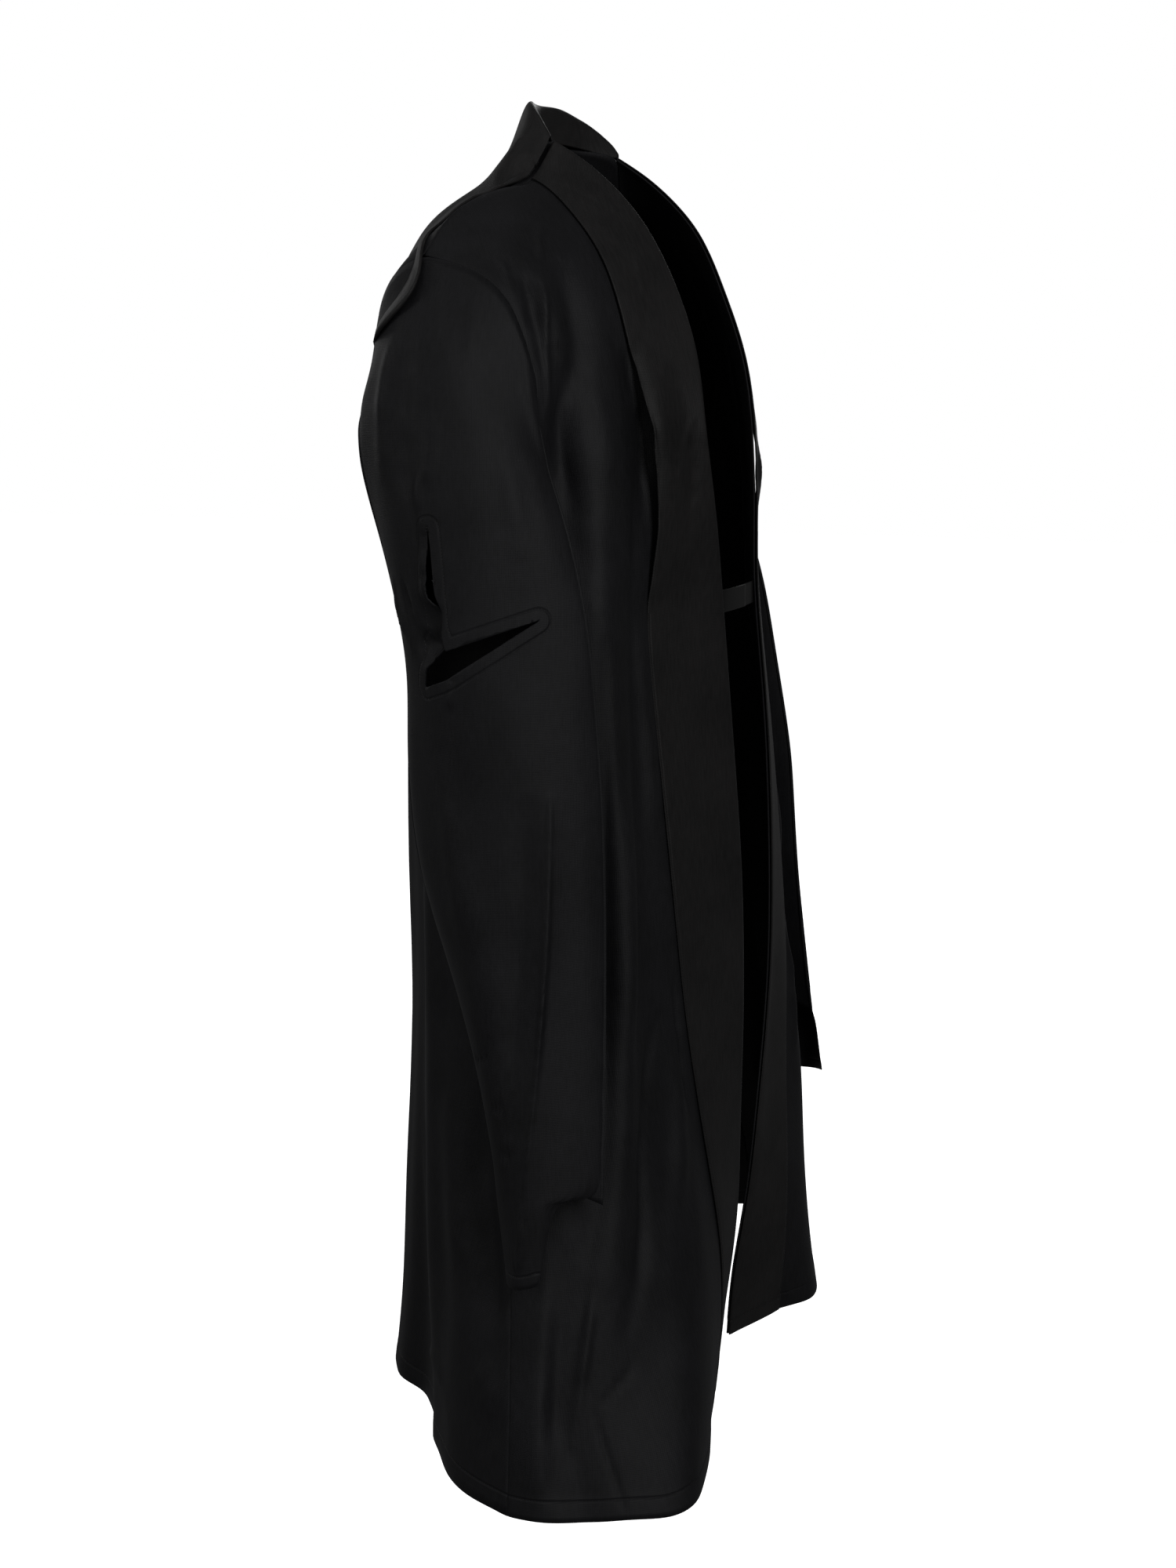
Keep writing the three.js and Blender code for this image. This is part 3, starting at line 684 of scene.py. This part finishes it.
# Sleeves: long closed hanging sleeves of the same cloth in two pieces, an outer and an under
# panel with seams in front and behind. The outer one is cut open for the arm, with turned
# edges, and both are left open at the lower end.
SLEEVE_FOLDS = [
    (10, 2.5, [(-301, 80, -152), (-311, 84, -182), (-313, 92, -219), (-310, 96, -307)]),
    (12, -3.2, [(-315, 70, -180), (-324, 69, -256), (-327, 62, -319)]),
    (8, 2.4, [(-325, 40, -238), (-329, 40, -279), (-329, 54, -319)]),
    (5, 2.6, [(-328, 54, -291), (-331, 46, -350)]),
    (6, 2.6, [(-332, 46, -361), (-331, 44, -418)]),
    (5, 2, [(-302, 93, -386), (-297, 89, -423), (-315, 66, -458)]),
    (5, -2.4, [(-316, 77, -392), (-321, 61, -445)]),
    (5, 2, [(-337, 17, -479), (-337, 19, -505)]),
    (3.5, 5.0, [(-317, -71, -579), (-339, -70, -773), (-371, -65, -953)]),
    (12, 2.4, [(-317, -71, -579), (-332, -70, -721), (-371, -65, -953)]),
    (16, -6, [(-329, -53, -585), (-364, -48, -904)]),
    (18, 4, [(-332, 33, -547), (-354, -27, -811)]),
    (3, -2.2, [(-336, -1, -836), (-353, -23, -826)]),
    (3, -1.8, [(-352, -23, -874), (-360, -40, -872)]),
    (3, -2.2, [(-359, -34, -915), (-365, -50, -917)]),
    (6, 1.6, [(-375, -64, -974), (-378, -61, -1023)]),
    (10, 1.6, [(-302, -19, -263), (-309, -42, -374)]),
    (5, 2, [(-278, 52, -114), (-313, 42, -173)]),
    (6, 1.6, [(-279, 17, -128), (-306, 10, -201)]),
    (4, 2, [(-271, -11, -144), (-273, -19, -161)]),
]
# The armhole seam stands up as a low ridge in front of the sleeve head.
HEAD_SEAM = [
    (4, 2.6, [(-272, -8, -132), (-273, -30, -190), (-275, -34, -219), (-266, -46, -290)]),
]


def is_sleeve_mouth(middle, way):
    return middle[2] < -0.93


def is_sleeve_tip(middle, way):
    return middle[2] < -0.99 and abs(way[2]) < 0.7


def is_arm_cut(middle, way):
    return abs(middle[0]) > 0.295 and -0.56 < middle[2] < -0.33 and -0.068 < middle[1] < 0.062


def is_sleeve_seam(middle, way):
    return not is_sleeve_mouth(middle, way) and not is_arm_cut(middle, way)


def is_back_lip(middle, way):
    return is_arm_cut(middle, way) and middle[2] > -0.482 and middle[1] > 0.0868 + 0.1 * middle[2]


# The back lip of the slit is soft: it leans in under the flap and crumples along its edge.
def lean_lip(piece, seed):
    places = points_of(piece)
    down = places[:, 2]
    lean = soft_step((-0.348 - down) / 0.09) * soft_step((down + 0.474) / 0.024)
    lean *= np.exp(-(reach_from(piece, is_back_lip) / 0.012) ** 2)
    crumple = np.array([noise.noise(Vector((seed, z * 110, y * 60))) for x, y, z in places])
    places[:, 1] -= lean * (0.018 + 0.006 * crumple)
    places[:, 0] -= np.sign(places[:, 0]) * lean * (0.005 - 0.005 * crumple)
    put_points(piece, places)


sleeves = []
for side, folds, head_seam, seed, centre in (
    ("right", SLEEVE_FOLDS, HEAD_SEAM, 6, (-0.29, 0.0)),
    ("left", mirrored(SLEEVE_FOLDS, 21), mirrored(HEAD_SEAM, 23), 9, (0.29, 0.0)),
):
    for part, width in (("outer", 0.30), ("under", 0.29)):
        sleeve = outward_face(f"sleeve_{side}_{part}", f"sleeve_{part}_{side}", 3, centre)
        if part == "outer":
            relax(sleeve, reach_from(sleeve, is_arm_cut))
        slack = slack_of(sleeve, is_sleeve_seam)
        press_folds(sleeve, folds, slack, seed, 1.2)
        ease(sleeve, slack, 0.05, 0.22, 0.002, 5.3)
        if part == "outer":
            tip_line = turn_hem(sleeve, is_sleeve_tip, 0.012, 0.0004)
            cut_line = turn_hem(sleeve, is_arm_cut, 0.011, 0.0003)
            lean_lip(sleeve, seed)
        roll_seams(sleeve, is_sleeve_seam)
        press_folds(sleeve, head_seam, 1.0, seed)
        rows = []
        if part == "outer":
            rows.append(sew(sleeve, f"sleeve_end_stitches_{side}", tip_line))
            rows.append(sew(sleeve, f"arm_cut_stitches_{side}", cut_line))
        make_up(sleeve, f"sleeve_{side}_{part}", PANEL_CLOTH, gown_cloth)
        sleeves.append(sleeve)


# Front bands: long facings turned to the outside along both front edges, sewn down below the
# waist and free at their outer edge above it. Same cloth, interlined, so they lie smoother.

# The interlining presses the same cloth smoother, so it reads a shade warmer and less matt.
facing_cloth = plain_weave("black_plain_weave_interlined", "#0d0d0d", "#1c1b1b", 0.55, 0.05)


# Lays a loose piece over the outermost cloth beneath it, with the given room left between the
# two. weight says how far each point follows, and rounds how much the move is evened out.
def lay_over(piece, under, weight, room, rounds):
    places = points_of(piece)
    trees = [
        BVHTree.FromPolygons([vert.co for vert in other.data.vertices],
                             [tuple(face.vertices) for face in other.data.polygons])
        for other in under
    ]
    move = np.zeros_like(places)
    for index in np.nonzero(weight > 0)[0]:
        place = Vector(places[index])
        lowest = None
        for tree in trees:
            at, normal, _, distance = tree.find_nearest(place, 0.06)
            if at is None:
                continue
            height = (place - at).dot(normal)
            beside = math.sqrt(max(distance ** 2 - height ** 2, 0.0))
            if beside < 0.006 and (lowest is None or height < lowest[0]):
                lowest = (height, at + normal * room[index])
        if lowest:
            move[index] = lowest[1] - place
    put_points(piece, places + even_out(piece.data, move, 1.0, rounds) * weight[:, None])


BAND_CLOTH = 0.0012
BAND_FOLDS = [
    (4, -1.4, [(-130, -5, -29), (-114, -59, -59)]),
    (5, 1.6, [(-121, -78, -89), (-137, -95, -135)]),
    (6, 2.2, [(-121, -140, -245), (-133, -130, -286), (-137, -121, -363)]),
    (9, -2.2, [(-121, -143, -267), (-111, -132, -372)]),
    (6, 1.6, [(-156, -119, -286), (-144, -123, -303), (-143, -121, -340)]),
]


def is_free_edge(middle, way):
    return abs(middle[0]) > 0.1 and middle[1] > -0.128 and middle[2] > -0.43


def is_sewn_edge(middle, way):
    return abs(middle[0]) > 0.085 and not is_skirt_hem(middle, way)


WAIST_NOTCH = -0.432


def is_sewn_down(place):
    return -1.225 < place[2] < WAIST_NOTCH


# Above the waist the outer edge of the right band springs up to a corner, as a lapel does.
bands = {}
for side, folds, seed, lift in (
    ("right", BAND_FOLDS, 2, 0.025),
    ("left", mirrored(BAND_FOLDS, 31), 3, 0.008),
):
    band = outward_face(f"band_{side}", f"front_band_{side}", 4, wall=0.0022)
    slack = slack_of(band, is_seam, 0.01)
    press_folds(band, folds, slack, seed)
    down = points_of(band)[:, 2]
    loose = soft_step(1 - reach_from(band, is_free_edge) / 0.05) * soft_step((down + 0.43) / 0.03)
    room = np.interp(down, (-0.43, -0.256, -0.19, -0.03), (0.003, lift, 0.005, 0.003))
    lay_over(band, [fronts[side]], loose, room, 14)
    ease(band, slack, 0.06, 0.2, 0.0015, 7.7)
    hem_line = turn_hem(band, is_skirt_hem, SKIRT_HEM)
    roll_seams(band, is_seam, 0.002, 0.0005)
    edge_line = reach_from(band, is_sewn_edge) - 0.0022
    mark_line(band, np.where(down < WAIST_NOTCH, edge_line, FAR_FROM_LINE))
    rows = [
        sew(band, f"band_hem_stitches_{side}", hem_line),
        sew(band, f"band_edge_stitches_{side}", edge_line, is_sewn_down),
    ]
    make_up(band, f"band_{side}", BAND_CLOTH, facing_cloth)
    bands[side] = band


# Collar: a deep flap collar that stands at the nape, folds over and lies on the shoulders and
# upper back. Two layers of the cloth with a soft interlining, so its outer edge is rounded.
COLLAR_FOLDS = [
    (6, 2.0, [(-200, 76, -50), (-182, 63, -37), (-119, 60, -19), (-121, 41, -14)]),
    (3, -1.8, [(-154, 45, -28), (-125, 51, -20), (-118, 46, -10)]),
    (6, -2, [(-106, 55, 1), (-108, 30, 6)]),
    (5, 1.8, [(-102, 49, 12), (-99, 50, 16), (-102, 36, 19)]),
    (5, 1.6, [(-119, 41, -12), (-112, 25, -5)]),
]
# The side and the foot of the flap at its corner: as the panel has them, then as they hang.
FLAP_SIDE = (
    [(186, 66, -39), (212, 92, -74), (212, 134, -158)],
    [(186, 66, -39), (224, 82, -68), (262, 74, -96), (288, 66, -124), (308, 76, -162)],
)
FLAP_FOOT = (
    [(212, 134, -158), (132, 197, -174)],
    [(308, 76, -162), (294, 112, -175), (250, 140, -178), (200, 168, -178), (132, 197, -174)],
)


CORNER_REACH = 85


# The square corners of the flap hang out over the backs of the sleeves. What lies further in
# follows them less, out to about that many millimetres from the edges.
def hang_corners(piece):
    places = points_of(piece) * 1000
    for side in (-1, 1):
        move = np.zeros_like(places)
        best = np.full(len(places), 1e3)
        for before, after in (FLAP_SIDE, FLAP_FOOT):
            old = run_through([(x * side, y, z) for x, y, z in before])
            new = run_through([(x * side, y, z) for x, y, z in after])
            gaps = np.linalg.norm(places[:, None, :] - old[None, :, :], axis=2)
            at = gaps.argmin(1)
            goal = new[np.round(at / (len(old) - 1) * (len(new) - 1)).astype(int)]
            closer = gaps.min(1) < best
            move[closer] = (goal - old[at])[closer]
            best = np.minimum(best, gaps.min(1))
        places += even_out(piece.data, move * soft_step(1.1 - best / CORNER_REACH)[:, None], 1.0, 10)
    put_points(piece, places / 1000)


def is_flap_edge(middle, way):
    return math.hypot(middle[0], middle[1] - 0.03) > 0.125


COLLAR_CLOTH = 0.0024
collar = outward_face("collar", "flap_collar", 3, wall=0.0026)
press_folds(collar, COLLAR_FOLDS, 1.0, 8)
press_folds(collar, mirrored(COLLAR_FOLDS, 41), 1.0, 5)
ease(collar, 1.0, 0.06, 0.06, 0.003, 1.9)
hang_corners(collar)
places = points_of(collar)
beyond_neck = soft_step((np.hypot(places[:, 0], places[:, 1] - 0.03) - 0.115) / 0.03)
near_edge = soft_step(1.2 - reach_from(collar, is_flap_edge) / 0.08)
lay_over(collar, [back, *fronts.values(), *sleeves, *bands.values()],
         beyond_neck * near_edge, np.full(len(places), 0.0055), 30)
roll_seams(collar, is_flap_edge, 0.004, 0.001)
make_up(collar, "collar", COLLAR_CLOTH, facing_cloth)


# Waist tape: black satin ribbon 22 mm wide in two halves, sewn inside the front edges and
# lapped in the middle, which keeps the gown from slipping off the shoulders.
# Satin weave lies close and smooth, so the ribbon is darker than the gown and a little glossy.
satin = bpy.data.materials.new("woven_satin_ribbon")
satin.use_nodes = True
satin_shader = satin.node_tree.nodes["Principled BSDF"]
satin_shader.inputs["Base Color"].default_value = linear("#080808")
satin_shader.inputs["Roughness"].default_value = 0.42
satin_shader.inputs["Specular IOR Level"].default_value = 0.12
TAPE_CLOTH = 0.0009
for side in ("right", "left"):
    tape = outward_face(f"waist_tape_{side}", f"waist_tape_half_{side}", 3, wall=0.0012)
    make_up(tape, f"waist_tape_{side}", TAPE_CLOTH, satin)
